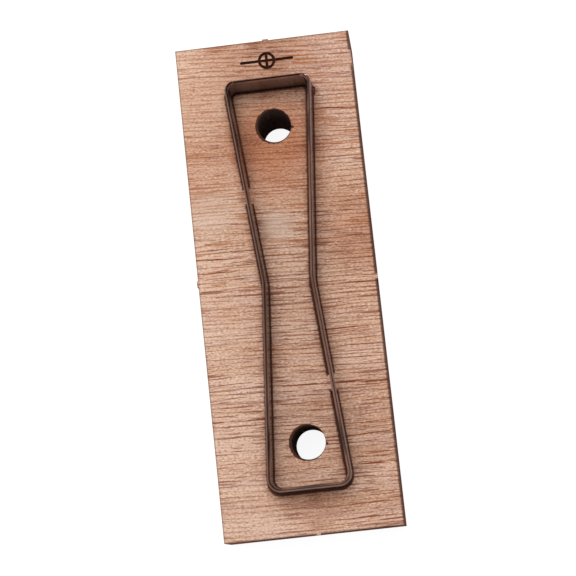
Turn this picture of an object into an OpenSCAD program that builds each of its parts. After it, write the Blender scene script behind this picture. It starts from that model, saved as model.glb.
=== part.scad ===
/* [Board] */
// Width of the plywood board at its top face
board_w = 33.7; // [28:0.1:44]
// Length of the plywood board at its top face
board_l = 94.8; // [90:0.1:120]
// Thickness of the plywood board
board_t = 16; // [12:0.5:18]
// How far the foot of a laser-cut wall stands out beyond its top edge
wall_lean = 0.3; // [0.1:0.05:0.6]
// Width of each broken-off holding tab, of which each side has one
tab_w = 1.1; // [0.8:0.1:4]
// How far a broken-off tab stands proud of the top edge
tab_proud = 0.25; // [0.1:0.05:0.6]
// Place of the left tab, lengthways
left_tab_y = 1.6; // [-5:0.1:5]
// Place of the right tab, lengthways
right_tab_y = -0.7; // [-5:0.1:5]
// Place of the tabs on the two ends, sideways
end_tab_x = 0.7; // [-5:0.1:5]

/* [Cutting rule] */
// Thickness of the steel strip
rule_t = 0.71; // [0.5:0.01:1.1]
// Height of the steel strip from its back to its cutting edge
rule_h = 23.8; // [22:0.1:32]
// Height of the double bevel that forms the cutting edge
bevel_h = 0.8; // [0.4:0.05:1.5]
// Hairline gap where the two ends of the strip butt together
joint_gap = 0.12; // [0.05:0.01:0.3]

/* [Cut outline] */
// Sideways place of the outline on the board
outline_x = 0.6; // [-2:0.05:2]
// Lengthways place of the outline on the board
outline_y = -0.5; // [-2:0.05:2]
// Length of the outline, along the strip's middle line
outline_l = 76.8; // [72:0.1:80]
// Width of the upper flared end
upper_end_w = 15.9; // [13:0.1:18]
// Width of the lower flared end
lower_end_w = 15.1; // [13:0.1:18]
// Width of the waist
waist_w = 9; // [8.2:0.1:12]
// Bend radius of the two upper corners
upper_bend_r = 1.5; // [1.2:0.1:3]
// Bend radius of the two lower corners
lower_bend_r = 2.1; // [1.2:0.1:3]
// Bend radius of the two waist bends
waist_bend_r = 8; // [4:0.5:20]

/* [Bridges] */
// Length of each uncut wooden bridge across the slot
bridge_l = 3.4; // [2:0.1:6]
// Distance of the left bridge above the waist
left_bridge_y = 17.8; // [8:0.1:26]
// Distance of the right bridge below the waist
right_bridge_y = 19.2; // [8:0.1:26]
// Room that the notch in the strip leaves at each end of a bridge
notch_play = 0.25; // [0.1:0.05:0.6]
// Height of the notch's roof above the board
notch_rise = 2.5; // [0.5:0.1:4]

/* [Laser slot] */
// Room between the strip and the slot on each side
slot_play = 0.03; // [0.02:0.01:0.1]
// Width of the burnt mouth of the slot at the top face
mouth_w = 1.15; // [1:0.05:1.5]
// Depth of the burnt mouth
mouth_d = 0.2; // [0.1:0.1:1.5]
// Radius of the burnt pit where the beam first pierced the board
pit_r = 0.65; // [0.5:0.05:1]
// How far a pit lies to the left of the strip's middle line
pit_shift = 0.2; // [0:0.05:0.3]
// Depth of a pierced pit
pit_d = 2; // [1:0.5:4]
// Depth of a shallow burn
burn_d = 0.4; // [0.1:0.1:1]
// Radius of the shallow burns in the trail beside the upper right bend
trail_r = 0.4; // [0.3:0.05:0.5]
// Number of shallow burns in the trail
trail_n = 3; // [1:1:4]
// Distance between the middles of two burns of the trail
trail_step = 0.5; // [0.3:0.05:0.55]

/* [Push-out holes] */
// Diameter of the two holes through which the cut piece is pushed out
hole_d = 6.4; // [4:0.1:7]
// Sideways place of the holes on the board
hole_x = 0.75; // [-2:0.05:2]
// Distance of each hole from the middle of the board, lengthways
hole_y = 30.4; // [26:0.1:33]
// Radius of the burnt nick beside each hole, where the beam began
nick_r = 0.3; // [0.3:0.05:0.5]
// Distance of the nick's middle from the hole's wall
nick_off = 0.25; // [0:0.05:0.25]
// How far round the hole the nick lies, clockwise from its right side, in degrees
nick_turn = 10; // [0:1:45]

/* [Scored mark] */
// Distance of the scored centring mark from the middle of the board
mark_y = 43.4; // [42:0.1:44.4]
// Length of the mark's cross line
mark_l = 9.8; // [6:0.1:12]
// Outer diameter of the mark's ring
mark_ring_d = 3.4; // [2:0.1:3.8]
// Width of a scored line
mark_line = 0.55; // [0.3:0.05:0.8]
// Depth of a scored line
mark_d = 0.4; // [0.2:0.1:1]

/* [Hidden] */
$fn = 96;

wood = "#c39478";
steel = "#5a4c48";

// Cutting bodies run this far past the faces that they open
past = 1;
// Cutting bodies that cross the slot or the strip are this wide
across = 4;
// A bend is drawn in steps of about this many degrees
bend_step = 9;

// Corners of the outline, anticlockwise from the upper right: place across, place along, bend radius
corners = [
    [upper_end_w / 2, outline_l / 2, upper_bend_r],
    [-upper_end_w / 2, outline_l / 2, upper_bend_r],
    [-waist_w / 2, 0, waist_bend_r],
    [-lower_end_w / 2, -outline_l / 2, lower_bend_r],
    [lower_end_w / 2, -outline_l / 2, lower_bend_r],
    [waist_w / 2, 0, waist_bend_r]
];
last_corner = len(corners) - 1;
butt_corner = 0;
upper_left_leg = 1;
lower_right_leg = 4;
upper_right_leg = 5;

// Geometry of leg i, from corner i to the next, and of the bend at corner i
function corner(i) = corners[(i + len(corners)) % len(corners)];
function place(i) = [corner(i).x, corner(i).y];
function bend_r(i) = corner(i).z;
function leg(i) = place(i + 1) - place(i);
function along(i) = leg(i) / norm(leg(i));
function heading(i) = atan2(leg(i).y, leg(i).x);
function side_of(a) = [-sin(a), cos(a)];
function wrapped(a) = a > 180 ? a - 360 : a < -180 ? a + 360 : a;
function turn(i) = wrapped(heading(i) - heading(i - 1));
function setback(i) = bend_r(i) * tan(abs(turn(i)) / 2);
function bend_offset(i) = sign(turn(i)) * bend_r(i) * side_of(heading(i - 1));
function bend_middle(i) = place(i) - setback(i) * along(i - 1) + bend_offset(i);
function bend_steps(i) = 2 * ceil(abs(turn(i)) / bend_step / 2);
function leg_point(i, y) = place(i) + leg(i) * (y - place(i).y) / leg(i).y;

// A station is a place on the strip's middle line and the unit vector to its left, into the outline
function bend_side(i, k) = side_of(heading(i - 1) + turn(i) * k / bend_steps(i));
function bend_place(i, side) = bend_middle(i) - sign(turn(i)) * bend_r(i) * side;
function station(i, k) = let (side = bend_side(i, k)) [bend_place(i, side), side];
function bend(i, first, last) = [for (k = [first:last]) station(i, k)];
function bends(first, last) = [for (i = [first:last]) each bend(i, 0, bend_steps(i))];
function beside(stations, d) = [for (s = stations) s[0] + d * s[1]];
function shifted(s, d) = [s[0] + d * [s[1].y, -s[1].x], s[1]];

// A wall of even thickness that follows the whole outline
module outline_wall(thickness, from, to) {
    loop = bends(0, last_corner);
    translate([0, 0, from]) linear_extrude(to - from) difference() {
        polygon(beside(loop, -thickness / 2));
        polygon(beside(loop, thickness / 2));
    }
}

// One bridge on each long side, the left one above the waist and the right one below it
module at_bridges() {
    for (b = [[upper_left_leg, left_bridge_y], [lower_right_leg, -right_bridge_y]])
        translate(leg_point(b[0], b[1])) rotate(heading(b[0])) children();
}

module bridge_block(length, top) {
    translate([-length / 2, -across / 2, -past]) cube([length, across, top + past]);
}

module on_board_outline() {
    translate([outline_x, outline_y, 0]) children();
}

// A straight block whose walls lean out towards the foot: narrow above, wide below
module leaning_block(width, length) {
    intersection() {
        rotate([90, 0, 0]) linear_extrude(2 * board_l, center = true) leaning_side(width);
        rotate([90, 0, 90]) linear_extrude(2 * board_w, center = true) leaning_side(length);
    }
}

module leaning_side(width) {
    foot = width / 2 + wall_lean;
    polygon([[-foot, 0], [foot, 0], [width / 2, board_t], [-width / 2, board_t]]);
}

// Stubs of the tabs that held the board in its sheet, near the middle of each side
module holding_tabs() {
    reach_x = board_w / 2 + tab_proud;
    reach_y = board_l / 2 + tab_proud;
    translate([-reach_x, left_tab_y - tab_w / 2, 0]) cube([reach_x, tab_w, board_t]);
    translate([0, right_tab_y - tab_w / 2, 0]) cube([reach_x, tab_w, board_t]);
    translate([end_tab_x - tab_w / 2, -reach_y, 0]) cube([tab_w, 2 * reach_y, board_t]);
}

// The slot that grips the strip, with its wider burnt mouth, broken by the bridges
module slot() {
    difference() {
        union() {
            outline_wall(rule_t + 2 * slot_play, -past, board_t + past);
            outline_wall(mouth_w, board_t - mouth_d, board_t + past);
        }
        at_bridges() bridge_block(bridge_l, board_t + 2 * past);
    }
}

// Pits where the beam pierced the board below each bridge
module pierced_pits() {
    start = bridge_l / 2 + pit_r / 2;
    for (b = [[upper_left_leg, left_bridge_y], [lower_right_leg, -right_bridge_y]])
        translate(leg_point(b[0], b[1] - start)) translate([-pit_shift, 0, 0]) burn(pit_r, pit_d);
}

// The trail that the beam left beside the upper right bend
module burnt_trail() {
    off_slot = (mouth_w - trail_r / 2) / 2;
    trail_top = outline_l / 2 - upper_bend_r + trail_r;
    for (k = [0:trail_n - 1])
        translate(leg_point(upper_right_leg, trail_top - trail_step * k))
            translate([off_slot, 0, 0]) burn(trail_r, burn_d);
}

// A round burn, sunk into the top face
module burn(radius, depth) {
    translate([0, 0, board_t - depth]) cylinder(h = depth + past, r = radius);
}

module push_out_holes() {
    for (y = [-hole_y, hole_y])
        translate([hole_x, y, 0]) {
            translate([0, 0, -past]) cylinder(h = board_t + 2 * past, d = hole_d);
            rotate(-nick_turn) translate([hole_d / 2 + nick_off, 0, 0]) burn(nick_r, burn_d);
        }
}

// A ring on a cross line, scored with the same beam
module centring_mark() {
    translate([outline_x, mark_y, board_t - mark_d]) {
        difference() {
            cylinder(h = mark_d + past, d = mark_ring_d);
            translate([0, 0, -past]) cylinder(h = mark_d + 3 * past, d = mark_ring_d - 2 * mark_line);
        }
        translate([-mark_l / 2, -mark_line / 2, 0]) cube([mark_l, mark_line, mark_d + past]);
        for (end = [-mark_l / 2, mark_l / 2])
            translate([end, 0, 0]) cylinder(h = mark_d + past, d = mark_line);
        translate([-mark_line / 2, -mark_ring_d / 2, 0]) cube([mark_line, mark_ring_d, mark_d + past]);
    }
}

module die_board() {
    color(wood) difference() {
        union() {
            leaning_block(board_w, board_l);
            holding_tabs();
        }
        on_board_outline() {
            slot();
            pierced_pits();
            burnt_trail();
        }
        push_out_holes();
        centring_mark();
    }
}

// The strip as it was bent: from its butt halfway round the upper right bend, once round, and back to it
module bent_strip() {
    half = rule_t / 2;
    shoulder = rule_h - bevel_h;
    section = [[-half, 0], [half, 0], [half, shoulder], [0, rule_h], [-half, shoulder]];
    sides = len(section);
    butt_step = bend_steps(butt_corner) / 2;
    run = concat(
        bend(butt_corner, butt_step + 1, 2 * butt_step),
        bends(butt_corner + 1, last_corner),
        bend(butt_corner, 0, butt_step - 1)
    );
    butt = station(butt_corner, butt_step);
    strip = concat([shifted(butt, joint_gap / 2)], run, [shifted(butt, -joint_gap / 2)]);
    last = len(strip) - 1;
    points = [for (s = strip) for (p = section) let (q = s[0] + p.x * s[1]) [q.x, q.y, p.y]];
    walls = [for (j = [0:last - 1]) for (k = [0:sides - 1]) let (next = (k + 1) % sides)
        [j * sides + k, (j + 1) * sides + k, (j + 1) * sides + next, j * sides + next]];
    first_end = [for (k = [0:sides - 1]) k];
    last_end = [for (k = [sides - 1:-1:0]) last * sides + k];
    polyhedron(points, concat(walls, [first_end, last_end]));
}

module cutting_rule() {
    color(steel) on_board_outline() difference() {
        bent_strip();
        at_bridges() bridge_block(bridge_l + 2 * notch_play, board_t + notch_rise);
    }
}

die_board();
cutting_rule();
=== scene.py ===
"""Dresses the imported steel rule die: a laser-cut plywood board and the bent steel rule that stands in it."""

import logging
import math
from collections.abc import Sequence
from dataclasses import dataclass, field, replace
from enum import IntEnum
from typing import Any, NamedTuple

import bmesh
import bpy
from mathutils import Matrix, Vector


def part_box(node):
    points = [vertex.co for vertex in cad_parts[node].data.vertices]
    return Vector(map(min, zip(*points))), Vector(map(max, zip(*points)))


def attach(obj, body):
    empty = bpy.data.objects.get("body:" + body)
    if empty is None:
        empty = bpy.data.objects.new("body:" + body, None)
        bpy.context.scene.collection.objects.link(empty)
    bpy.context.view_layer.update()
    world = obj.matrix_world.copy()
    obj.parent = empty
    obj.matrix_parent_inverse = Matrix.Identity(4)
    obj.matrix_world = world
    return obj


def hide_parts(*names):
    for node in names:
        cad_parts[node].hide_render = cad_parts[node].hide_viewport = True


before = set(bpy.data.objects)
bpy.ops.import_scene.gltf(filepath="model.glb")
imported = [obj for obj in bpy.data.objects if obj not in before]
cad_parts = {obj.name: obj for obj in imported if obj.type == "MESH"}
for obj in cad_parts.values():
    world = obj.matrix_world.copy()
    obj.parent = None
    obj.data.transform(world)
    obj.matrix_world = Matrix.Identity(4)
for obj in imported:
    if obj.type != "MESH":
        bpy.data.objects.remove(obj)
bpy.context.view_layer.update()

BODY = "root"
MM = 0.001
TURN = 2 * math.pi
WOOD_IOR = 1.5

# Sockets of the Mix node in its colour mode, which share their names with those of its other modes
FACTOR, FIRST, SECOND, MIXED = 0, 6, 7, 2

# The kinds of node that are used most
MATH = "ShaderNodeMath"
VECTOR_MATH = "ShaderNodeVectorMath"
MAP_RANGE = "ShaderNodeMapRange"
SPLIT = "ShaderNodeSeparateXYZ"
MIX = "ShaderNodeMix"

# The setting with which a Map Range node eases in and out, for soft masks
SOFT = {"interpolation_type": "SMOOTHSTEP"}

log = logging.getLogger("steel_rule_die")

Socket = bpy.types.NodeSocket
Tree = bpy.types.NodeTree
Inputs = dict[int | str, Any] | tuple[Any, ...]


class BoardFace(IntEnum):
    """Material slots of the die board, by how each face came about."""

    VENEER = 0
    CUT_EDGE = 1
    KERF = 2
    SCORED = 3
    TORN_TAB = 4
    HOLE_WALL = 5


class RuleFace(IntEnum):
    """Material slots of the cutting rule."""

    STRIP = 0
    # The bevel slots hold lit and shaded copies of one ground steel, painted light and shade by the way each
    # bevel faces
    OUTER_BEVEL = 1
    INNER_BEVEL = 2
    RUBBED_BEVEL = 3
    DULL_BEVEL = 4
    FILED = 5


def linear(colour: str) -> tuple[float, float, float, float]:
    """Turn an sRGB hex value into a linear colour.

    Args:
        colour: Six hex digits after a hash sign.

    Returns:
        Linear red, green, blue and an alpha of one.
    """
    parts = [int(colour[i:i + 2], 16) / 255 for i in (1, 3, 5)]
    red, green, blue = [p / 12.92 if p <= 0.04045 else ((p + 0.055) / 1.055) ** 2.4 for p in parts]
    return red, green, blue, 1.0


def add_node(tree: Tree, kind: str, inputs: Inputs, out: int | str = 0, **settings: Any) -> Socket:
    """Add a node with its settings, and fill or link its inputs.

    Args:
        tree: The node tree that takes the node.
        kind: Blender's name for the kind of node.
        inputs: A value or another node's output for each input, by name or number, or in order.
        out: The output to hand back, by name or number.
        **settings: Properties of the node.

    Returns:
        The chosen output.
    """
    made = tree.nodes.new(kind)
    for name, value in settings.items():
        setattr(made, name, value)
    pairs = inputs.items() if isinstance(inputs, dict) else enumerate(inputs)
    for key, value in pairs:
        if isinstance(value, Socket):
            tree.links.new(value, made.inputs[key])
        else:
            made.inputs[key].default_value = value
    return made.outputs[out]


def new_material(name: str) -> tuple[bpy.types.Material, Tree, bpy.types.Node]:
    """Start a material.

    Args:
        name: The real material and how its surface was made.

    Returns:
        The material, its node tree and its surface shader.
    """
    material = bpy.data.materials.new(name)
    material.use_nodes = True
    tree = material.node_tree
    return material, tree, tree.nodes["Principled BSDF"]


class WoodSurface(NamedTuple):
    """How raw or burnt wood reflects, and how strongly and how deep in millimetres its pattern is felt."""

    roughness: float
    specular: float
    relief: float
    depth: float

    def dress(self, tree: Tree, shader: bpy.types.Node, colour: Socket, height: Socket,
              sunk: bool = False) -> None:
        """Fill in the surface shader.

        Args:
            tree: The node tree.
            shader: The surface shader.
            colour: The finished colour.
            height: The pattern that stands out of the surface.
            sunk: Whether the pattern lies below the surface instead.
        """
        tree.links.new(colour, shader.inputs["Base Color"])
        shader.inputs["IOR"].default_value = WOOD_IOR
        shader.inputs["Roughness"].default_value = self.roughness
        shader.inputs["Specular IOR Level"].default_value = self.specular
        relief = {"Strength": self.relief, "Distance": self.depth * MM, "Height": height}
        tree.links.new(add_node(tree, "ShaderNodeBump", relief, invert=sunk), shader.inputs["Normal"])


def place_in_mm(tree: Tree) -> Socket:
    """Give the place on the piece, in millimetres, as a vector output."""
    place = add_node(tree, "ShaderNodeTexCoord", {}, "Object")
    return add_node(tree, VECTOR_MATH, (place, (1 / MM,) * 3), operation="MULTIPLY")


class Fade(NamedTuple):
    """Where a soft mask is 0, where it has reached its top, and that top; a falling one starts higher."""

    start: float
    full: float
    top: float = 1.0

    def inputs(self, value: Socket) -> Inputs:
        """The inputs of a Map Range node that makes the mask from a value."""
        return {"Value": value, "From Min": self.start, "From Max": self.full, "To Max": self.top}


class Streaks(NamedTuple):
    """A noise by the length of its blotches along X, Y and Z in millimetres, and its use as a mask."""

    size: tuple[float, float, float]
    fade: Fade = Fade(0.0, 1.0)
    detail: float = 2.0

    def noise(self, tree: Tree, place: Socket) -> Socket:
        """Lay the noise.

        Args:
            tree: The node tree.
            place: The place in millimetres.

        Returns:
            The noise, from 0 to 1.
        """
        per_mm = tuple(1 / length for length in self.size)
        scaled = add_node(tree, VECTOR_MATH, (place, per_mm), operation="MULTIPLY")
        return add_node(tree, "ShaderNodeTexNoise", {"Vector": scaled, "Scale": 1.0, "Detail": self.detail})

    def mask(self, tree: Tree, place: Socket) -> Socket:
        """Lay the noise at a place in millimetres and turn it into a soft mask."""
        return add_node(tree, MAP_RANGE, self.fade.inputs(self.noise(tree, place)), **SOFT)


class Spot(NamedTuple):
    """A round place on the board's top face, in millimetres, and how strongly it is marked."""

    x: float
    y: float
    radius: float
    strength: float = 1.0


def spots_mask(tree: Tree, flat: Socket, spots: Sequence[Spot], core: float) -> Socket:
    """Mark a set of round places.

    Args:
        tree: The node tree.
        flat: The place in millimetres, with its height set to 0.
        spots: The places; their masks are joined by the strongest.
        core: Share of each radius inside which the mask is full.

    Returns:
        The joined mask.
    """
    joined = None
    for spot in spots:
        centre = (flat, (spot.x, spot.y, 0))
        away = add_node(tree, VECTOR_MATH, centre, "Value", operation="DISTANCE")
        fade = Fade(spot.radius, spot.radius * core, spot.strength)
        mask = add_node(tree, MAP_RANGE, fade.inputs(away), **SOFT)
        if joined is not None:
            mask = add_node(tree, MATH, (joined, mask), operation="MAXIMUM")
        joined = mask
    return joined


@dataclass(frozen=True)
class Outline:
    """The bow-tie line that the rule follows, in millimetres."""

    x: float
    y: float
    length: float
    upper_width: float = 15.9
    lower_width: float = 15.1
    waist_width: float = 9.0
    upper_bend: float = 1.5
    lower_bend: float = 2.1
    waist_bend: float = 8.0
    left_bridge: float = 17.8
    right_bridge: float = 19.2
    bridge_length: float = 3.4

    def half_width(self, y: float) -> float:
        """Half of the outline's width at a height y above its waist."""
        end = self.upper_width if y > 0 else self.lower_width
        return self.waist_width / 2 + (end - self.waist_width) * abs(y) / self.length

    def bridges(self) -> list[Spot]:
        """Place the two uncut bridges on the board.

        Returns:
            The left bridge and the right one.
        """
        reach = self.bridge_length / 2
        left = Spot(self.x - self.half_width(self.left_bridge), self.y + self.left_bridge, reach)
        right = Spot(self.x + self.half_width(-self.right_bridge), self.y - self.right_bridge, reach)
        return [left, right]

    def distance(self, tree: Tree, place: Socket) -> Socket:
        """Measure how far a place is from the line.

        Args:
            tree: The node tree.
            place: The place in millimetres.

        Returns:
            The distance in millimetres.
        """
        local = add_node(tree, VECTOR_MATH, (place, (self.x, self.y, 0)), operation="SUBTRACT")
        x = add_node(tree, SPLIT, (local,), "X")
        y = add_node(tree, SPLIT, (local,), "Y")
        upper_flare = (self.upper_width - self.waist_width) / self.length
        lower_flare = (self.waist_width - self.lower_width) / self.length
        width = self.waist_width / 2
        for part, flare in (("MAXIMUM", upper_flare), ("MINIMUM", lower_flare)):
            rise = add_node(tree, MATH, (y, 0.0), operation=part)
            width = add_node(tree, MATH, (rise, flare, width), operation="MULTIPLY_ADD")
        in_upper = add_node(tree, MATH, (y, 0.0), operation="GREATER_THAN")
        radii = {"Value": in_upper, "To Min": self.lower_bend, "To Max": self.upper_bend}
        bend = add_node(tree, MAP_RANGE, radii)
        insets = []
        for value, limit in ((x, width), (y, self.length / 2)):
            reach = add_node(tree, MATH, (value,), operation="ABSOLUTE")
            reach = add_node(tree, MATH, (reach, bend), operation="ADD")
            insets.append(add_node(tree, MATH, (reach, limit), operation="SUBTRACT"))
        side, end = insets
        both = add_node(tree, "ShaderNodeCombineXYZ", {"X": side, "Y": end})
        outer = add_node(tree, VECTOR_MATH, (both, (0, 0, 0)), operation="MAXIMUM")
        past = add_node(tree, VECTOR_MATH, (outer,), "Value", operation="LENGTH")
        nearer = add_node(tree, MATH, (side, end), operation="MAXIMUM")
        inside = add_node(tree, MATH, (nearer, 0.0), operation="MINIMUM")
        rounded = add_node(tree, MATH, (past, inside), operation="ADD")
        signed = add_node(tree, MATH, (rounded, bend), operation="SUBTRACT")
        return add_node(tree, MATH, (signed,), operation="ABSOLUTE")


@dataclass(frozen=True)
class FaceMarks:
    """Where the board's top face differs from plain veneer, in millimetres.

    Smoke has browned the stains, and some of them are painted shadow: those along and under the rule's lower
    end darken the wood where the rule's shadow falls. Resin has yellowed the wood, handling has rubbed the
    worn places pale, the calm places have few pores, the rosy ones are pinker, and in the rows the pores stand
    in unbroken lines.
    """

    # The three small spots along the rule's lower end and the broad one under its middle are painted shadow of
    # the rule
    stains_and_shade: tuple[Spot, ...] = (
        Spot(14.0, 8.0, 13.0, 0.35), Spot(1.0, -41.0, 9.0, 0.3), Spot(-3.5, -40.2, 3.2, 0.5),
        Spot(1.0, -40.2, 3.2, 0.52), Spot(5.5, -39.6, 3.2, 0.46), Spot(-1.5, 46.0, 4.0, 0.6),
        Spot(9.0, -36.0, 5.0, 0.4), Spot(13.0, -28.0, 16.0, 0.25), Spot(0.0, 46.0, 16.0, 0.4),
        Spot(9.0, 36.2, 1.6, 1.0), Spot(-4.0, 28.0, 6.0, 0.35), Spot(1.0, -26.0, 11.0, 0.35),
        Spot(0.6, 0.0, 9.0, 0.1), Spot(12.0, -43.0, 9.0, 0.25), Spot(-10.6, -42.8, 10.0, 0.08))
    resin: tuple[Spot, ...] = (
        Spot(0.0, 27.0, 15.0, 0.65), Spot(-3.5, 44.0, 18.0, 0.22), Spot(15.0, 8.0, 10.0, 0.3),
        Spot(-14.0, 24.0, 13.0, 0.25), Spot(1.0, -42.0, 9.0, 0.18), Spot(-12.0, 37.0, 11.0, 0.16))
    worn: tuple[Spot, ...] = (Spot(-0.8, 11.1, 4.5, 0.5), Spot(-13.5, 15.0, 7.0, 0.3))
    calm: tuple[Spot, ...] = (
        Spot(-12.3, -6.4, 9.0, 0.4), Spot(-10.6, -42.8, 10.0, 0.5), Spot(-11.8, 37.1, 12.0, 0.32),
        Spot(0.7, 28.0, 12.0, 0.35), Spot(1.5, -43.0, 8.0, 0.35))
    rosy: tuple[Spot, ...] = (Spot(13.0, 40.0, 13.0, 0.55), Spot(13.0, 28.0, 9.0, 0.4))
    rows: tuple[Spot, ...] = (
        Spot(0.6, 1.0, 10.0, 0.8), Spot(12.5, -4.0, 12.0, 0.7), Spot(12.7, 40.0, 11.0, 0.65),
        Spot(-12.0, 33.0, 14.0, 0.5))
    scratch: Spot = Spot(-11.2, -34.7, 3.6, 0.35)
    scratch_slant: float = math.radians(26)
    scratch_half: float = 0.13

    def scratch_mask(self, tree: Tree, flat: Socket) -> Socket:
        """Mark the one straight scratch, as a round spot squeezed across its length.

        Args:
            tree: The node tree.
            flat: The place in millimetres, with its height set to 0.

        Returns:
            The mask.
        """
        middle = (self.scratch.x, self.scratch.y, 0)
        level = {"Vector": flat, "Center": middle, "Angle": -self.scratch_slant}
        turned = add_node(tree, "ShaderNodeVectorRotate", level, rotation_type="Z_AXIS")
        turned = add_node(tree, VECTOR_MATH, (turned, middle), operation="SUBTRACT")
        squeezed = (1.0, self.scratch.radius / self.scratch_half, 0.0)
        turned = add_node(tree, VECTOR_MATH, (turned, squeezed), operation="MULTIPLY")
        off = add_node(tree, VECTOR_MATH, (turned,), "Value", operation="LENGTH")
        fade = Fade(self.scratch.radius, self.scratch.radius / 2, self.scratch.strength)
        return add_node(tree, MAP_RANGE, fade.inputs(off), **SOFT)


@dataclass(frozen=True)
class OkoumeVeneer:
    """Sliced okoume face veneer, raw from the knife: pinkish tan with a dull sheen.

    The eye gets fine brown pore lines along the grain, paler flecks between them, and soft brown smoke
    beside laser cuts, with painted shadow under the rule's lower end. Sizes are in millimetres.
    """

    outline: Outline
    half_width: float
    half_length: float
    tabs: list[Spot]
    holes: list[Spot]
    marks: FaceMarks = FaceMarks()
    pale: str = "#e9c4ac"
    tan: str = "#d3a486"
    bright: str = "#f6e0d0"
    rosy: str = "#d2aa9a"
    worn: str = "#d8bfae"
    pore: str = "#823e22"
    ochre: str = "#ad6832"
    resin: str = "#cf8a50"
    smoke: str = "#96603f"
    char: str = "#482618"
    surface: WoodSurface = WoodSurface(0.62, 0.12, 0.35, 0.08)
    # The grain's slant to the board's ends, and the reach and size of its slow waves
    lower_slant: float = math.radians(1.0)
    upper_slant: float = math.radians(4.4)
    wave_reach: float = 1.8
    waves: Streaks = Streaks((36.0, 14.0, 8.0), detail=1.0)
    # The right side is tanner than the left one, and the lower part is rosier
    right_tan: float = 0.55
    rosier: Fade = Fade(23.7, -14.22)
    bands: Streaks = Streaks((45.0, 3.5, 8.0), Fade(0.35, 0.66, 0.5))
    patches: Streaks = Streaks((16.0, 9.0, 8.0), Fade(0.3, 0.75, 0.4))
    blushes: Streaks = Streaks((12.0, 2.2, 8.0), Fade(0.48, 0.66, 0.45))
    # A real fleck is a tenth of a millimetre wide, too fine for a pixel, so it is drawn three times as wide
    flecks: Streaks = Streaks((0.55, 0.28, 4.0), detail=1.0)
    bright_fleck: Fade = Fade(0.5, 0.75, 0.65)
    dark_fleck: Fade = Fade(0.5, 0.25, 0.65)
    long_pores: Streaks = Streaks((10.0, 0.34, 4.0), Fade(0.58, 0.64, 0.8))
    short_pores: Streaks = Streaks((5.0, 0.24, 4.0), Fade(0.57, 0.66, 0.75))
    pore_tint: Streaks = Streaks((9.0, 1.2, 4.0))
    pore_red: Fade = Fade(0.5, 0.66)
    red_gain: float = 0.2
    resin_loss: float = 0.22
    row_gap: float = 0.9
    row_sway: float = 2.5
    row_waves: Streaks = Streaks((60.0, 2.6, 8.0), detail=1.0)
    row_groups: Streaks = Streaks((30.0, 6.0, 8.0), Fade(0.36, 0.58))
    row_breaks: Streaks = Streaks((5.0, 0.5, 4.0), Fade(0.41, 0.51))
    row_mend: float = 0.7
    row_line: Fade = Fade(0.74, 0.97)
    row_light: Fade = Fade(0.0, -0.9, 0.2)
    smoke_drift: Streaks = Streaks((5.0, 3.0, 5.0), Fade(0.2, 0.7))
    # The smoke and the burnt lip, by the distance from the middle of the cut
    halo: Fade = Fade(2.23, 0.63, 0.5)
    lip: Fade = Fade(1.03, 0.63)
    lip_waver: float = 0.4
    ragged: Streaks = Streaks((0.5, 0.5, 0.5))
    # The beam burnt the left lip of each cut wider than the right one
    lip_shift: float = -0.25
    upper_lip_shift: float = 0.14
    lower_lip_shift: float = 0.26
    # How much narrower the lip gets at the lower end, and the right edge's band wider at the upper end
    lower_lip_loss: Fade = Fade(-34.56, -38.4, 0.1)
    upper_edge_gain: Fade = Fade(42.66, 45.03, 0.2)
    ring_shift: float = -0.22
    ring_width: float = 0.18
    # The burnt rim, by the distance past the board's outline, and the wider band along its right edge
    rim: Fade = Fade(-0.36, 0.0, 0.6)
    right_band: Fade = Fade(16.39, 16.712, 0.85)

    def material(self) -> bpy.types.Material:
        """Make the material, one layer of colour over the other.

        Returns:
            The material.
        """
        material, tree, shader = new_material("sliced_okoume_face_veneer")
        place = place_in_mm(tree)
        flat = add_node(tree, VECTOR_MATH, (place, (1, 1, 0)), operation="MULTIPLY")
        grain = self.grain(tree, place, flat)
        across = add_node(tree, SPLIT, (place,), "X")
        tanner = add_node(tree, MAP_RANGE, {
            "Value": across, "From Min": -self.half_width, "From Max": self.half_width,
            "To Max": self.right_tan})
        tone = add_node(tree, MATH, (self.bands.mask(tree, grain), self.patches.mask(tree, grain)),
                        operation="ADD")
        tone = add_node(tree, MATH, (tone, tanner), operation="ADD", use_clamp=True)
        along = add_node(tree, SPLIT, (place,), "Y")
        lower = add_node(tree, MAP_RANGE, self.rosier.inputs(along), **SOFT)
        blush = add_node(tree, MATH, (self.blushes.mask(tree, grain), lower), operation="MULTIPLY")
        flush = spots_mask(tree, flat, self.marks.rosy, core=0.3)
        blush = add_node(tree, MATH, (blush, flush), operation="MAXIMUM")
        speckle = self.flecks.noise(tree, grain)
        bright = add_node(tree, MAP_RANGE, self.bright_fleck.inputs(speckle), **SOFT)
        dark = add_node(tree, MAP_RANGE, self.dark_fleck.inputs(speckle), **SOFT)
        pores, between = self.pores(tree, grain, flat)
        resin = spots_mask(tree, flat, self.marks.resin, core=0.2)
        redder = self.pore_tint.noise(tree, grain)
        for share, gain in ((tanner, self.red_gain), (lower, self.red_gain), (resin, -self.resin_loss)):
            redder = add_node(tree, MATH, (share, gain, redder), operation="MULTIPLY_ADD")
        redder = add_node(tree, MAP_RANGE, self.pore_red.inputs(redder), **SOFT)
        pore = add_node(tree, MIX, {
            FACTOR: redder, FIRST: linear(self.ochre), SECOND: linear(self.pore)}, MIXED, data_type="RGBA")
        worn = spots_mask(tree, flat, self.marks.worn, core=0.3)
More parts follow.
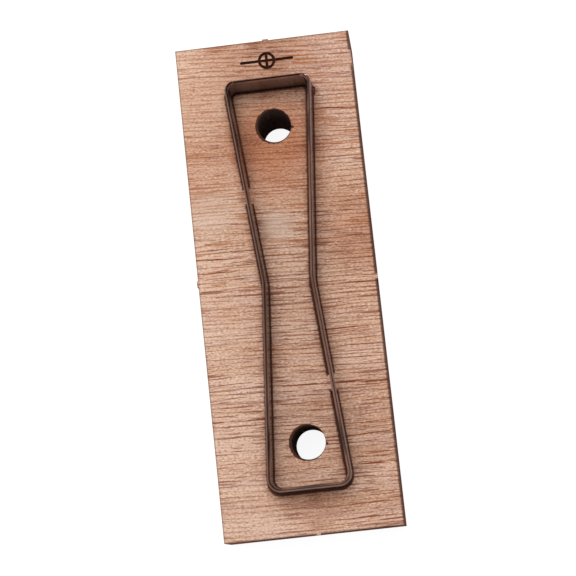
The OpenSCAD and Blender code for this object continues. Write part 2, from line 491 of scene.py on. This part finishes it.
        # Smoke, with painted shadow under the rule's lower end
        smoke = self.smoke_and_shade_mask(tree, flat)
        char = self.char_mask(tree, flat)
        layers = ((tone, self.tan), (blush, self.rosy), (bright, self.bright), (dark, self.smoke),
                  (between, self.bright), (pores, pore), (worn, self.worn), (resin, self.resin),
                  (smoke, self.smoke), (char, self.char))
        colour = linear(self.pale)
        for mask, tint in layers:
            blend = "MULTIPLY" if mask in (resin, smoke) else "MIX"
            laid = {FACTOR: mask, FIRST: colour, SECOND: linear(tint) if isinstance(tint, str) else tint}
            colour = add_node(tree, MIX, laid, MIXED, data_type="RGBA", blend_type=blend)
        self.surface.dress(tree, shader, colour, pores, sunk=True)
        return material

    def grain(self, tree: Tree, place: Socket, flat: Socket) -> Socket:
        """Turn and bend a place so that its X runs along the grain.

        Args:
            tree: The node tree.
            place: The place in millimetres.
            flat: The same with its height set to 0.

        Returns:
            The place along and across the grain in millimetres.
        """
        along = add_node(tree, SPLIT, (place,), "Y")
        slant = add_node(tree, MAP_RANGE, {
            "Value": along, "From Min": -self.half_length, "From Max": self.half_length,
            "To Min": self.lower_slant, "To Max": self.upper_slant})
        leaning = {"Vector": place, "Angle": slant}
        turned = add_node(tree, "ShaderNodeVectorRotate", leaning, rotation_type="Z_AXIS")
        lift = add_node(tree, MATH, (self.waves.noise(tree, flat), self.wave_reach), operation="MULTIPLY")
        drift = add_node(tree, "ShaderNodeCombineXYZ", {"Y": lift})
        return add_node(tree, VECTOR_MATH, (turned, drift), operation="ADD")

    def pores(self, tree: Tree, grain: Socket, flat: Socket) -> tuple[Socket, Socket]:
        """Lay the pores: in rows, one to each thin growth layer that the knife cut through, and alone.

        Args:
            tree: The node tree.
            grain: The place along and across the grain in millimetres.
            flat: The place on the board in millimetres, with its height set to 0.

        Returns:
            The mask of the pore lines, and that of the paler wood between the rows.
        """
        across = add_node(tree, SPLIT, (grain,), "Y")
        sway = (self.row_waves.noise(tree, grain), self.row_sway * self.row_gap, across)
        across = add_node(tree, MATH, sway, operation="MULTIPLY_ADD")
        phase = add_node(tree, MATH, (across, TURN / self.row_gap), operation="MULTIPLY")
        wave = add_node(tree, MATH, (phase,), operation="SINE")
        packed = spots_mask(tree, flat, self.marks.rows, core=0.4)
        grouped = self.row_groups.mask(tree, grain)
        grouped = add_node(tree, MATH, (grouped, packed), operation="MAXIMUM")
        mended = (packed, self.row_mend, self.row_breaks.mask(tree, grain))
        whole = add_node(tree, MATH, mended, operation="MULTIPLY_ADD", use_clamp=True)
        lines = add_node(tree, MAP_RANGE, self.row_line.inputs(wave), **SOFT)
        lines = add_node(tree, MATH, (lines, whole), operation="MULTIPLY")
        lines = add_node(tree, MATH, (lines, grouped), operation="MULTIPLY")
        between = add_node(tree, MAP_RANGE, self.row_light.inputs(wave), **SOFT)
        between = add_node(tree, MATH, (between, grouped), operation="MULTIPLY")
        for alone in (self.long_pores, self.short_pores):
            lines = add_node(tree, MATH, (lines, alone.mask(tree, grain)), operation="MAXIMUM")
        calm = spots_mask(tree, flat, self.marks.calm, core=0.3)
        shown = add_node(tree, MATH, (1.0, calm), operation="SUBTRACT")
        return add_node(tree, MATH, (lines, shown), operation="MULTIPLY"), between

    def smoke_and_shade_mask(self, tree: Tree, flat: Socket) -> Socket:
        """Mark where smoke from the cut has browned the face, with the painted shadow under the rule's lower
        end, and the dirty scratch.

        Args:
            tree: The node tree.
            flat: The place in millimetres, with its height set to 0.

        Returns:
            The mask.
        """
        away = self.burnt_line().distance(tree, flat)
        halo = add_node(tree, MAP_RANGE, self.halo.inputs(away), **SOFT)
        stains_and_shade = spots_mask(tree, flat, self.marks.stains_and_shade, core=0.1)
        joined = add_node(tree, MATH, (halo, stains_and_shade), operation="MAXIMUM")
        drifting = self.smoke_drift.mask(tree, flat)
        joined = add_node(tree, MATH, (joined, drifting), operation="MULTIPLY")
        scratch = self.marks.scratch_mask(tree, flat)
        return add_node(tree, MATH, (joined, scratch), operation="MAXIMUM")

    def burnt_line(self) -> Outline:
        """Find the line along the middle of the burnt lips, left of the rule and further out at both ends.

        Returns:
            The line.
        """
        lift = (self.upper_lip_shift - self.lower_lip_shift) / 2
        length = self.outline.length + self.upper_lip_shift + self.lower_lip_shift
        return replace(self.outline, x=self.outline.x + self.lip_shift, y=self.outline.y + lift,
                       length=length)

    def char_mask(self, tree: Tree, flat: Socket) -> Socket:
        """Mark the burnt lips of the slot, of the holes and of the board's own outline.

        Args:
            tree: The node tree.
            flat: The place in millimetres, with its height set to 0.

        Returns:
            The mask.
        """
        waver = (self.ragged.noise(tree, flat), self.lip_waver, -self.lip_waver / 2)
        rough = add_node(tree, MATH, waver, operation="MULTIPLY_ADD")
        along = add_node(tree, SPLIT, (flat,), "Y")
        away = self.burnt_line().distance(tree, flat)
        away = add_node(tree, MATH, (away, rough), operation="ADD")
        loss = add_node(tree, MAP_RANGE, self.lower_lip_loss.inputs(along), **SOFT)
        away = add_node(tree, MATH, (away, loss), operation="ADD")
        lip = add_node(tree, MAP_RANGE, self.lip.inputs(away), **SOFT)
        uncut = spots_mask(tree, flat, self.outline.bridges(), core=0.9)
        lip = add_node(tree, MATH, (lip, uncut), operation="SUBTRACT", use_clamp=True)
        for hole in self.holes:
            centre = (flat, (hole.x + self.ring_shift, hole.y, 0))
            off = add_node(tree, VECTOR_MATH, centre, "Value", operation="DISTANCE")
            off = add_node(tree, MATH, (off, rough), operation="ADD")
            fade = Fade(hole.radius + 2 * self.ring_width, hole.radius + self.ring_width)
            ring = add_node(tree, MAP_RANGE, fade.inputs(off), **SOFT)
            lip = add_node(tree, MATH, (lip, ring), operation="MAXIMUM")
        corner = (self.half_width, self.half_length, 0)
        inset = add_node(tree, VECTOR_MATH, (flat,), operation="ABSOLUTE")
        inset = add_node(tree, VECTOR_MATH, (inset, corner), operation="SUBTRACT")
        side = add_node(tree, SPLIT, (inset,), "X")
        end = add_node(tree, SPLIT, (inset,), "Y")
        edge = add_node(tree, MATH, (side, end), operation="MAXIMUM")
        rim = add_node(tree, MAP_RANGE, self.rim.inputs(edge), **SOFT)
        right = add_node(tree, SPLIT, (flat,), "X")
        right = add_node(tree, MATH, (right, rough), operation="SUBTRACT")
        gain = add_node(tree, MAP_RANGE, self.upper_edge_gain.inputs(along), **SOFT)
        right = add_node(tree, MATH, (right, gain), operation="ADD")
        band = add_node(tree, MAP_RANGE, self.right_band.inputs(right), **SOFT)
        rim = add_node(tree, MATH, (rim, band), operation="MAXIMUM")
        held = spots_mask(tree, flat, self.tabs, core=0.8)
        rim = add_node(tree, MATH, (rim, held), operation="SUBTRACT", use_clamp=True)
        return add_node(tree, MATH, (lip, rim), operation="MAXIMUM")


@dataclass(frozen=True)
class LaserCutPlyEdge:
    """Laser-cut plywood edge, unevenly scorched red-brown.

    The eye gets plies by turns with long fibres and with darker end grain, and a faint upright ripple from
    the beam.
    """

    unburnt_places: Sequence[Spot]
    top: float
    dark: str = "#5d3a33"
    light: str = "#8a5f54"
    end_grain: str = "#4a2c25"
    unburnt: str = "#c39a78"
    surface: WoodSurface = WoodSurface(0.85, 0.0, 0.4, 0.1)
    ply: float = 1.6
    ply_sway: float = 0.6
    ply_waves: Streaks = Streaks((25.0, 25.0, 5.0), detail=1.0)
    crossband: Fade = Fade(-0.3, 0.3)
    soot: Fade = Fade(0.0, 1.0, 0.35)
    # The beam's ripple is near a tenth of a millimetre apart, drawn four times as wide so that it shows
    ripple: Streaks = Streaks((0.4, 0.4, 12.0), detail=3.0)
    scorch: Streaks = Streaks((7.0, 7.0, 9.0), detail=3.0)
    long_fibres: Streaks = Streaks((8.0, 8.0, 0.35), detail=3.0)
    end_fibres: Streaks = Streaks((0.7, 0.7, 0.5), detail=3.0)
    fibre_share: float = 0.8
    ripple_share: float = 0.3
    scorched: Fade = Fade(0.75, 1.35)
    unburnt_depth: float = 11.0
    unburnt_top: float = 0.95
    torn_reach: float = 1.0

    def material(self) -> bpy.types.Material:
        """Make the material.

        Returns:
            The material.
        """
        material, tree, shader = new_material("laser_cut_plywood_edge")
        place = place_in_mm(tree)
        flat = add_node(tree, VECTOR_MATH, (place, (1, 1, 0)), operation="MULTIPLY")
        ripple = self.ripple.noise(tree, place)
        height = add_node(tree, SPLIT, (place,), "Z")
        sway = (self.ply_waves.noise(tree, place), self.ply_sway * self.ply, height)
        level = add_node(tree, MATH, sway, operation="MULTIPLY_ADD")
        phase = add_node(tree, MATH, (level, TURN / (2 * self.ply)), operation="MULTIPLY")
        wave = add_node(tree, MATH, (phase,), operation="SINE")
        crossband = add_node(tree, MAP_RANGE, self.crossband.inputs(wave), **SOFT)
        fibres = self.long_fibres.noise(tree, place)
        ends = self.end_fibres.noise(tree, place)
        ends = add_node(tree, MATH, (ends, fibres), operation="SUBTRACT")
        fibres = add_node(tree, MATH, (crossband, ends, fibres), operation="MULTIPLY_ADD")
        mask = self.scorch.noise(tree, place)
        for pattern, share in ((fibres, self.fibre_share), (ripple, self.ripple_share)):
            mask = add_node(tree, MATH, (pattern, share, mask), operation="MULTIPLY_ADD")
        mask = add_node(tree, MAP_RANGE, self.scorched.inputs(mask), **SOFT)
        sooty = add_node(tree, MAP_RANGE, self.soot.inputs(crossband), **SOFT)
        torn = (ripple, 2 * self.torn_reach, -self.torn_reach)
        torn = add_node(tree, MATH, torn, operation="MULTIPLY_ADD")
        shift = add_node(tree, "ShaderNodeCombineXYZ", {"Y": torn})
        near = add_node(tree, VECTOR_MATH, (flat, shift), operation="ADD")
        clean = spots_mask(tree, near, self.unburnt_places, core=0.5)
        shallow = Fade(self.top - self.unburnt_depth, self.top, self.unburnt_top)
        shallow = add_node(tree, MAP_RANGE, shallow.inputs(height), **SOFT)
        clean = add_node(tree, MATH, (clean, shallow), operation="MULTIPLY")
        colour = linear(self.dark)
        for share, tint in ((mask, self.light), (sooty, self.end_grain), (clean, self.unburnt)):
            colour = add_node(tree, MIX, {FACTOR: share, FIRST: colour, SECOND: linear(tint)}, MIXED,
                              data_type="RGBA")
        self.surface.dress(tree, shader, colour, mask)
        return material


@dataclass(frozen=True)
class LaserChar:
    """Wood burnt by the beam: dull, dark where soot has settled and browner where it has flaked."""

    name: str
    soot: str
    flaked: str
    surface: WoodSurface = WoodSurface(0.9, 0.0, 0.5, 0.1)
    flakes: Streaks = Streaks((0.5, 0.5, 2.5), Fade(0.5, 0.75), detail=3.0)

    def material(self) -> bpy.types.Material:
        """Make the material.

        Returns:
            The material.
        """
        material, tree, shader = new_material(self.name)
        flakes = self.flakes.mask(tree, place_in_mm(tree))
        colour = add_node(tree, MIX, {
            FACTOR: flakes, FIRST: linear(self.soot), SECOND: linear(self.flaked)}, MIXED, data_type="RGBA")
        self.surface.dress(tree, shader, colour, flakes)
        return material


@dataclass(frozen=True)
class TornPlyTab:
    """Plywood torn where a holding tab was snapped: pale raw fibres, unburnt."""

    pale: str = "#c9a180"
    shade: str = "#8a5c40"
    surface: WoodSurface = WoodSurface(0.8, 0.25, 0.7, 0.2)
    fibres: Streaks = Streaks((0.35, 0.35, 3.0), Fade(0.4, 0.7), detail=3.0)

    def material(self) -> bpy.types.Material:
        """Make the material.

        Returns:
            The material.
        """
        material, tree, shader = new_material("torn_plywood_tab")
        fibres = self.fibres.noise(tree, place_in_mm(tree))
        mask = add_node(tree, MAP_RANGE, self.fibres.fade.inputs(fibres), **SOFT)
        colour = add_node(tree, MIX, {
            FACTOR: mask, FIRST: linear(self.pale), SECOND: linear(self.shade)}, MIXED, data_type="RGBA")
        self.surface.dress(tree, shader, colour, fibres)
        return material


@dataclass(frozen=True)
class RuleSteel:
    """Tempered strip steel, rolled, ground or filed: a satin that takes the red of the wood beside it.

    The eye gets fine lines along the strip, cloudy blotches and, on some bevels, a darker band of painted
    shade up to the cutting edge. The red it takes from the wood is painted into its base colour, a painted
    reflection.
    """

    name: str
    dark: str
    light: str
    roughness: float
    # A bevel's painted shade: a darker band up to the cutting edge, by height in millimetres, in this colour
    edge_shade_band: Fade | None = None
    edge_shade_colour: str = "#2d211c"
    # Rolling lines are a few hundredths of a millimetre apart, drawn as wide as a pixel can show
    lines: Streaks = Streaks((30.0, 30.0, 0.15))
    blotches: Streaks = Streaks((2.5, 2.5, 3.0))
    cloud: Fade = Fade(0.1, 0.45)
    satin_spread: float = 0.06
    relief: float = 0.15
    relief_depth: float = 0.02

    def material(self) -> bpy.types.Material:
        """Make the material.

        Returns:
            The material.
        """
        material, tree, shader = new_material(self.name)
        place = place_in_mm(tree)
        lines = self.lines.noise(tree, place)
        mask = add_node(tree, MATH, (lines, self.blotches.noise(tree, place)), operation="MULTIPLY")
        mask = add_node(tree, MAP_RANGE, self.cloud.inputs(mask), **SOFT)
        colour = add_node(tree, MIX, {
            FACTOR: mask, FIRST: linear(self.dark), SECOND: linear(self.light)}, MIXED, data_type="RGBA")
        # Painted shade: the bevel darkens towards the cutting edge
        if self.edge_shade_band:
            height = add_node(tree, SPLIT, (place,), "Z")
            painted_edge_shade = add_node(tree, MAP_RANGE, self.edge_shade_band.inputs(height), **SOFT)
            colour = add_node(tree, MIX, {
                FACTOR: painted_edge_shade, FIRST: colour, SECOND: linear(self.edge_shade_colour)}, MIXED, data_type="RGBA")
        tree.links.new(colour, shader.inputs["Base Color"])
        satin = {"Value": lines, "To Min": self.roughness - self.satin_spread,
                 "To Max": self.roughness + self.satin_spread}
        tree.links.new(add_node(tree, MAP_RANGE, satin), shader.inputs["Roughness"])
        shader.inputs["Metallic"].default_value = 1.0
        relief = {"Strength": self.relief, "Distance": self.relief_depth * MM, "Height": lines}
        tree.links.new(add_node(tree, "ShaderNodeBump", relief), shader.inputs["Normal"])
        return material


@dataclass
class DieBoard:
    """The plywood board, with its slot, holes, pits and tab stubs, in millimetres."""

    outline: Outline
    wall_lean: float = 0.3
    corner_round: float = 0.6
    corner_steps: int = 4
    left_tab: float = 1.6
    right_tab: float = -0.7
    end_tab: float = 0.7
    tab_width: float = 1.1
    sliver: float = 0.35
    burnt_tab: float = 0.3
    # A stretch of the right edge that the beam hardly burnt
    pale_y: float = 42.0
    pale_reach: float = 1.7
    pale_lip: float = 0.6
    hole_x: float = 0.75
    hole_y: float = 30.4
    hole_radius: float = 3.2
    mark_from: float = 41.0
    flat_limit: float = 0.9
    skin: float = 0.05
    half_width: float = field(init=False)
    half_length: float = field(init=False)
    top: float = field(init=False)

    def __post_init__(self) -> None:
        """Take the board's size from its imported solid."""
        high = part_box("die_board")[1] / MM
        self.half_width = high.x - self.wall_lean
        self.half_length = high.y - self.wall_lean
        self.top = high.z

    def tabs(self) -> list[Spot]:
        """Place the four tab stubs, each by how unburnt it is.

        Returns:
            The left, right, upper and lower stub; the lower one is burnt through but for a sliver.
        """
        reach = self.tab_width / 2
        return [Spot(-self.half_width, self.left_tab, reach, self.burnt_tab),
                Spot(self.half_width, self.right_tab, reach),
                Spot(self.end_tab, self.half_length, reach, self.burnt_tab),
                Spot(self.end_tab + self.sliver / 2, -self.half_length, self.sliver)]

    def holes(self) -> list[Spot]:
        """The two push-out holes."""
        return [Spot(self.hole_x, y, self.hole_radius) for y in (self.hole_y, -self.hole_y)]

    def face_kind(self, centre: Vector, normal: Vector) -> BoardFace:
        """Tell how a face came about.

        Args:
            centre: The face's middle in millimetres.
            normal: The face's outward direction.

        Returns:
            The face's material slot.
        """
        on_skin = centre.z > self.top - self.skin or centre.z < self.skin
        if abs(normal.z) > self.flat_limit and on_skin:
            return BoardFace.VENEER
        past_side = abs(centre.x) > self.half_width - self.skin
        past_end = abs(centre.y) > self.half_length - self.skin
        if not (past_side or past_end):
            if any((centre.xy - Vector((h.x, h.y))).length < h.radius + self.skin for h in self.holes()):
                return BoardFace.HOLE_WALL
            return BoardFace.SCORED if centre.y > self.mark_from else BoardFace.KERF
        upright = abs(normal.z) < self.skin / self.top
        by_tab = any((centre.xy - Vector((t.x, t.y))).length < self.tab_width / 2 for t in self.tabs()[:-1])
        return BoardFace.TORN_TAB if upright and by_tab else BoardFace.CUT_EDGE

    def build(self) -> bpy.types.Object:
        """Copy the board's solid, so that each of its faces can take its own finish, and round its corners.

        Returns:
            The board.
        """
        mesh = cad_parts["die_board"].data.copy()
        solid = bmesh.new()
        solid.from_mesh(mesh)
        reach_x = (self.half_width - self.skin) * MM
        reach_y = (self.half_length - self.skin) * MM
        corners = [edge for edge in solid.edges
                   if all(abs(v.co.x) > reach_x and abs(v.co.y) > reach_y for v in edge.verts)
                   and edge.calc_length() > self.top / 2 * MM]
        bmesh.ops.bevel(solid, geom=corners, offset=self.corner_round * MM, segments=self.corner_steps,
                        profile=0.5, affect="EDGES")
        solid.to_mesh(mesh)
        solid.free()
        board = bpy.data.objects.new("laser_cut_board", mesh)
        bpy.context.scene.collection.objects.link(board)
        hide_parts("die_board")
        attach(board, BODY)
        return board

    def dress(self, board: bpy.types.Object) -> None:
        """Give each face its finish.

        Args:
            board: The board.
        """
        pale_edge = Spot(self.half_width, self.pale_y, self.pale_reach)
        held = self.tabs() + [pale_edge._replace(strength=self.pale_lip)]
        veneer = OkoumeVeneer(self.outline, self.half_width, self.half_length, held, self.holes())
        finishes = {
            BoardFace.VENEER: veneer,
            BoardFace.CUT_EDGE: LaserCutPlyEdge((pale_edge, self.tabs()[-1]), self.top),
            BoardFace.KERF: LaserChar("scorched_laser_kerf", "#68443a", "#82584c"),
            BoardFace.SCORED: LaserChar("charred_laser_score", "#38201a", "#4f2f26"),
            BoardFace.TORN_TAB: TornPlyTab(),
            BoardFace.HOLE_WALL: LaserChar("sooted_hole_wall", "#6b564e", "#867067")}
        mesh = board.data
        mesh.materials.clear()
        for kind in BoardFace:
            mesh.materials.append(finishes[kind].material())
        for face in mesh.polygons:
            face.material_index = self.face_kind(face.center / MM, face.normal)


class Station(NamedTuple):
    """A place on the strip's middle line, the way to its left, and whether a notch starts there."""

    place: Vector
    side: Vector
    notched: bool = False


@dataclass
class CuttingRule:
    """The bevelled steel strip, bent round the outline and notched over the bridges, in millimetres."""

    outline: Outline
    height: float
    thickness: float = 0.71
    bevel: float = 0.8
    honed: float = 0.05
    # Where the painted shade near the cutting edge starts and is full, as shares of the bevel
    edge_shade_from: float = 0.48
    edge_shade_full: float = 0.66
    joint_gap: float = 0.12
    filed_spans: int = 2
    end_leg: float = 0.8
    notch_play: float = 0.25
    notch_roof: float = 18.5
    bend_step: float = math.radians(4.5)
    crease: float = math.radians(20)

    def corners(self) -> list[tuple[Vector, float]]:
        """Place the outline's corners.

        Returns:
            The corners, anticlockwise from the upper right, each with its bend radius.
        """
        o = self.outline
        half, waist = o.length / 2, o.waist_width / 2
        upper, lower = o.upper_width / 2, o.lower_width / 2
        return [(Vector((upper, half)), o.upper_bend), (Vector((-upper, half)), o.upper_bend),
                (Vector((-waist, 0)), o.waist_bend), (Vector((-lower, -half)), o.lower_bend),
                (Vector((lower, -half)), o.lower_bend), (Vector((waist, 0)), o.waist_bend)]

    def bend(self, index: int) -> list[Station]:
        """Lay stations round one bend.

        Args:
            index: The corner.

        Returns:
            The stations, from the leg before the corner to the leg after it.
        """
        corners = self.corners()
        place, radius = corners[index]
        before = (place - corners[index - 1][0]).normalized()
        after = (corners[(index + 1) % len(corners)][0] - place).normalized()
        turn = math.atan2(before.cross(after), before.dot(after))
        hand = math.copysign(1.0, turn)
        side = before.orthogonal()
        middle = place - before * radius * math.tan(abs(turn) / 2) + side * hand * radius
        steps = 2 * math.ceil(abs(turn) / self.bend_step / 2)
        turned = [Matrix.Rotation(turn * k / steps, 2) @ side for k in range(steps + 1)]
        return [Station(middle - s * hand * radius, s) for s in turned]

    def notch(self, leg: int, y: float) -> list[Station]:
        """Lay the two ends of the notch over a bridge.

        Args:
            leg: The leg that the bridge is on, by the corner it starts from.
            y: The bridge's height above the waist.

        Returns:
            The stations of the notch's two ends.
        """
        corners = self.corners()
        start, stop = corners[leg][0], corners[(leg + 1) % len(corners)][0]
        along = (stop - start).normalized()
        middle = start + (stop - start) * (y - start.y) / (stop.y - start.y)
        reach = along * (self.outline.bridge_length / 2 + self.notch_play)
        side = along.orthogonal()
        return [Station(middle - reach, side, True), Station(middle + reach, side)]

    def stations(self) -> list[Station]:
        """Lay the whole strip.

        Returns:
            The stations, from the butt halfway round the upper right bend to the butt again.
        """
        butt = self.bend(0)
        half = len(butt) // 2
        run = butt[half:]
        # By the corner that the leg with the notch starts from
        notches = {1: self.outline.left_bridge, 4: -self.outline.right_bridge}
        for corner in range(1, len(self.corners())):
            run += self.bend(corner)
            if corner in notches:
                run += self.notch(corner, notches[corner])
        run += butt[:half + 1]
        gap = self.joint_gap / 2
        first, last = run[0], run[-1]
        run[0] = first._replace(place=first.place - first.side.orthogonal() * gap)
        run[-1] = last._replace(place=last.place + last.side.orthogonal() * gap)
        return run

    def build(self) -> bpy.types.Object:
        """Sweep the strip's section along its stations.

        Returns:
            The bent strip.
        """
        half, shoulder = self.thickness / 2, self.height - self.bevel
        hone = self.honed / 2
        section = [(-half, 0), (-half, self.notch_roof), (-half, shoulder), (-hone, self.height),
                   (hone, self.height), (half, shoulder), (half, self.notch_roof), (half, 0)]
        # Lines of the section, by the point that each starts from
        outer_bevel, hone_line, inner_bevel = 2, 3, 4
        centre = Vector((self.outline.x, self.outline.y))
        made = bmesh.new()
        rings = []
        run = self.stations()
        for station in run:
            points = [(centre + station.place + station.side * across, up) for across, up in section]
            rings.append([made.verts.new((p.x * MM, p.y * MM, up * MM)) for p, up in points])
        around = len(section)
        for count, (station, ring, following) in enumerate(zip(run, rings, rings[1:])):
            lines = range(1, around - 2) if station.notched else range(around - 1)
            spans = [(k, k + 1) for k in lines] + [(around - 2, 1) if station.notched else (around - 1, 0)]
            for a, b in spans:
                face = made.faces.new((ring[a], ring[b], following[b], following[a]))
                # Each bevel takes a lit or shaded copy of one ground steel by the way it faces, as painted
                # light and shade: the upper end's outer bevel and honed edge a painted shaded copy, the inner
                # bevels of the left legs a darker copy, and the other inner bevels a painted lit copy
                kind = RuleFace.STRIP
                if a in (outer_bevel, hone_line):
                    kind = RuleFace.DULL_BEVEL if station.side.y < -self.end_leg else RuleFace.OUTER_BEVEL
                elif a == inner_bevel:
                    kind = RuleFace.INNER_BEVEL if station.side.x > 0 else RuleFace.RUBBED_BEVEL
                filed = kind != RuleFace.STRIP and count < self.filed_spans
                face.material_index = RuleFace.FILED if filed else kind
                face.smooth = True
            if station.notched:
                for end in (ring, following):
                    made.faces.new((end[0], end[1], end[around - 2], end[around - 1]))
        made.faces.new(rings[0])
        made.faces.new(rings[-1])
        bmesh.ops.recalc_face_normals(made, faces=made.faces[:])
        for edge in made.edges:
            edge.smooth = edge.calc_face_angle(0.0) < self.crease
        mesh = bpy.data.meshes.new("bent_cutting_rule")
        made.to_mesh(mesh)
        made.free()
        rule = bpy.data.objects.new("bent_cutting_rule", mesh)
        bpy.context.scene.collection.objects.link(rule)
        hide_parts("cutting_rule")
        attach(rule, BODY)
        return rule

    def dress(self, rule: bpy.types.Object) -> None:
        """Give the strip and its bevels their finishes.

        Args:
            rule: The bent strip.
        """
        shoulder = self.height - self.bevel
        # The painted shade near the cutting edge of the ground outer and inner bevels
        painted_edge_shade = Fade(shoulder + self.edge_shade_from * self.bevel, shoulder + self.edge_shade_full * self.bevel)
        # The bevel finishes are lit and shaded copies of one ground steel, painted light and shade for the way
        # each bevel faces
        finishes = {
            # The red tint in the steel base colours is a painted reflection of the wood beside the rule
            RuleFace.STRIP: RuleSteel("rolled_tempered_strip_steel", "#61504b", "#73605b", 0.24),
            RuleFace.OUTER_BEVEL: RuleSteel("ground_outer_bevel_steel", "#7a6561", "#967f7b", 0.36, painted_edge_shade),
            RuleFace.INNER_BEVEL: RuleSteel("ground_inner_bevel_steel", "#a28b84", "#bfa7a0", 0.36, painted_edge_shade),
            RuleFace.RUBBED_BEVEL: RuleSteel("painted_lit_inner_bevel_steel", "#b7a099", "#d2bbb4", 0.36),
            RuleFace.DULL_BEVEL: RuleSteel("painted_shaded_outer_bevel_steel", "#35271f", "#46362d", 0.5),
            RuleFace.FILED: RuleSteel("filed_bright_steel", "#d6ccc4", "#f0e9e2", 0.35)}
        for kind in RuleFace:
            rule.data.materials.append(finishes[kind].material())


@dataclass(frozen=True)
class Studio:
    """A white floor under a soft key lamp and an even white sky, in metres."""

    floor_size: float = 6.0
    floor_drop: float = 0.02 * MM
    floor_colour: str = "#e6e6e6"
    floor_seen: str = "#808080"
    floor_lift: float = 0.91
    floor_roughness: float = 0.9
    white: str = "#ffffff"
    sky: float = 0.48
    lamp_place: tuple[float, float, float] = (-0.1, 0.26, 0.92)
    lamp_size: float = 0.6
    lamp_power: float = 5.4

    def build_floor(self) -> bpy.types.Object:
        """Lay the floor, of matt paper: white to the eye, and still shaded under the die.

        Returns:
            The floor.
        """
        mesh = bpy.data.meshes.new("floor")
        half = self.floor_size / 2
        corners = [(-half, -half, 0), (half, -half, 0), (half, half, 0), (-half, half, 0)]
        mesh.from_pydata(corners, [], [(0, 1, 2, 3)])
        floor = bpy.data.objects.new("floor", mesh)
        floor.location.z = -self.floor_drop
        bpy.context.scene.collection.objects.link(floor)
        material, tree, shader = new_material("white_paper_floor")
        shader.inputs["Roughness"].default_value = self.floor_roughness
        shader.inputs["Emission Color"].default_value = linear(self.white)
        seen = self.seen_rays(tree)
        tints = {FACTOR: seen, FIRST: linear(self.floor_colour), SECOND: linear(self.floor_seen)}
        colour = add_node(tree, MIX, tints, MIXED, data_type="RGBA")
        tree.links.new(colour, shader.inputs["Base Color"])
        lift = add_node(tree, MATH, (seen, self.floor_lift), operation="MULTIPLY")
        tree.links.new(lift, shader.inputs["Emission Strength"])
        mesh.materials.append(material)
        return floor

    def seen_rays(self, tree: Tree) -> Socket:
        """Tell camera, glossy and transmitted rays from those that only carry light.

        Args:
            tree: The node tree.

        Returns:
            1 for a ray that is seen, and 0 for the rest.
        """
        seen = add_node(tree, "ShaderNodeLightPath", {}, "Is Camera Ray")
        for kind in ("Is Glossy Ray", "Is Transmission Ray"):
            ray = add_node(tree, "ShaderNodeLightPath", {}, kind)
            seen = add_node(tree, MATH, (seen, ray), operation="MAXIMUM")
        return seen

    def light(self) -> None:
        """Hang the key lamp and light the sky."""
        lamp = bpy.data.lights.new("key_lamp", "AREA")
        lamp.energy = self.lamp_power
        lamp.size = self.lamp_size
        hung = bpy.data.objects.new("key_lamp", lamp)
        hung.location = self.lamp_place
        hung.rotation_euler = (-Vector(self.lamp_place)).to_track_quat("-Z", "Y").to_euler()
        bpy.context.scene.collection.objects.link(hung)
        world = bpy.data.worlds.new("even_sky")
        world.use_nodes = True
        tree = world.node_tree
        level = {"Value": self.seen_rays(tree), "To Min": self.sky, "To Max": 1.0}
        strength = add_node(tree, MAP_RANGE, level)
        background = tree.nodes["Background"]
        background.inputs["Color"].default_value = linear(self.white)
        tree.links.new(strength, background.inputs["Strength"])
        bpy.context.scene.world = world


@dataclass(frozen=True)
class PhotoCamera:
    """The camera, in millimetres: almost straight above the die, and turned a little."""

    eye: tuple[float, float, float] = (16.84, -47.85, 335.47)
    aim: tuple[float, float, float] = (0.02, -1.08, 16.0)
    roll: float = math.radians(-6.135)
    lens: float = 106.96
    sensor: float = 36.0

    def build(self) -> bpy.types.Object:
        """Set the camera up and make it the scene's own.

        Returns:
            The camera.
        """
        ahead = (Vector(self.aim) - Vector(self.eye)).normalized()
        level = ahead.cross(Vector((0, 1, 0))).normalized()
        upright = level.cross(ahead)
        right = level * math.cos(self.roll) + upright * math.sin(self.roll)
        up = upright * math.cos(self.roll) - level * math.sin(self.roll)
        data = bpy.data.cameras.new("photo_camera")
        data.sensor_fit = "HORIZONTAL"
        data.sensor_width = self.sensor
        data.lens = self.lens
        camera = bpy.data.objects.new("photo_camera", data)
        turned = Matrix((right, up, -ahead)).transposed().to_4x4()
        camera.matrix_world = Matrix.Translation(Vector(self.eye) * MM) @ turned
        bpy.context.scene.collection.objects.link(camera)
        bpy.context.scene.camera = camera
        return camera


def main() -> None:
    """Build the die, its studio and its camera, and log what was built."""
    logging.basicConfig(level=logging.INFO, format="%(name)s: %(message)s")
    bpy.context.scene.view_settings.view_transform = "Standard"
    low, high = (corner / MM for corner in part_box("cutting_rule"))
    rule_thickness = CuttingRule.thickness
    outline = Outline((low.x + high.x) / 2, (low.y + high.y) / 2, high.y - low.y - rule_thickness)
    for part in (DieBoard(outline), CuttingRule(outline, high.z)):
        piece = part.build()
        part.dress(piece)
        log.info("built %s with %d faces", piece.name, len(piece.data.polygons))
    studio = Studio()
    log.info("laid %s", studio.build_floor().name)
    studio.light()
    log.info("set up %s", PhotoCamera().build().name)


if __name__ == "__main__":
    main()
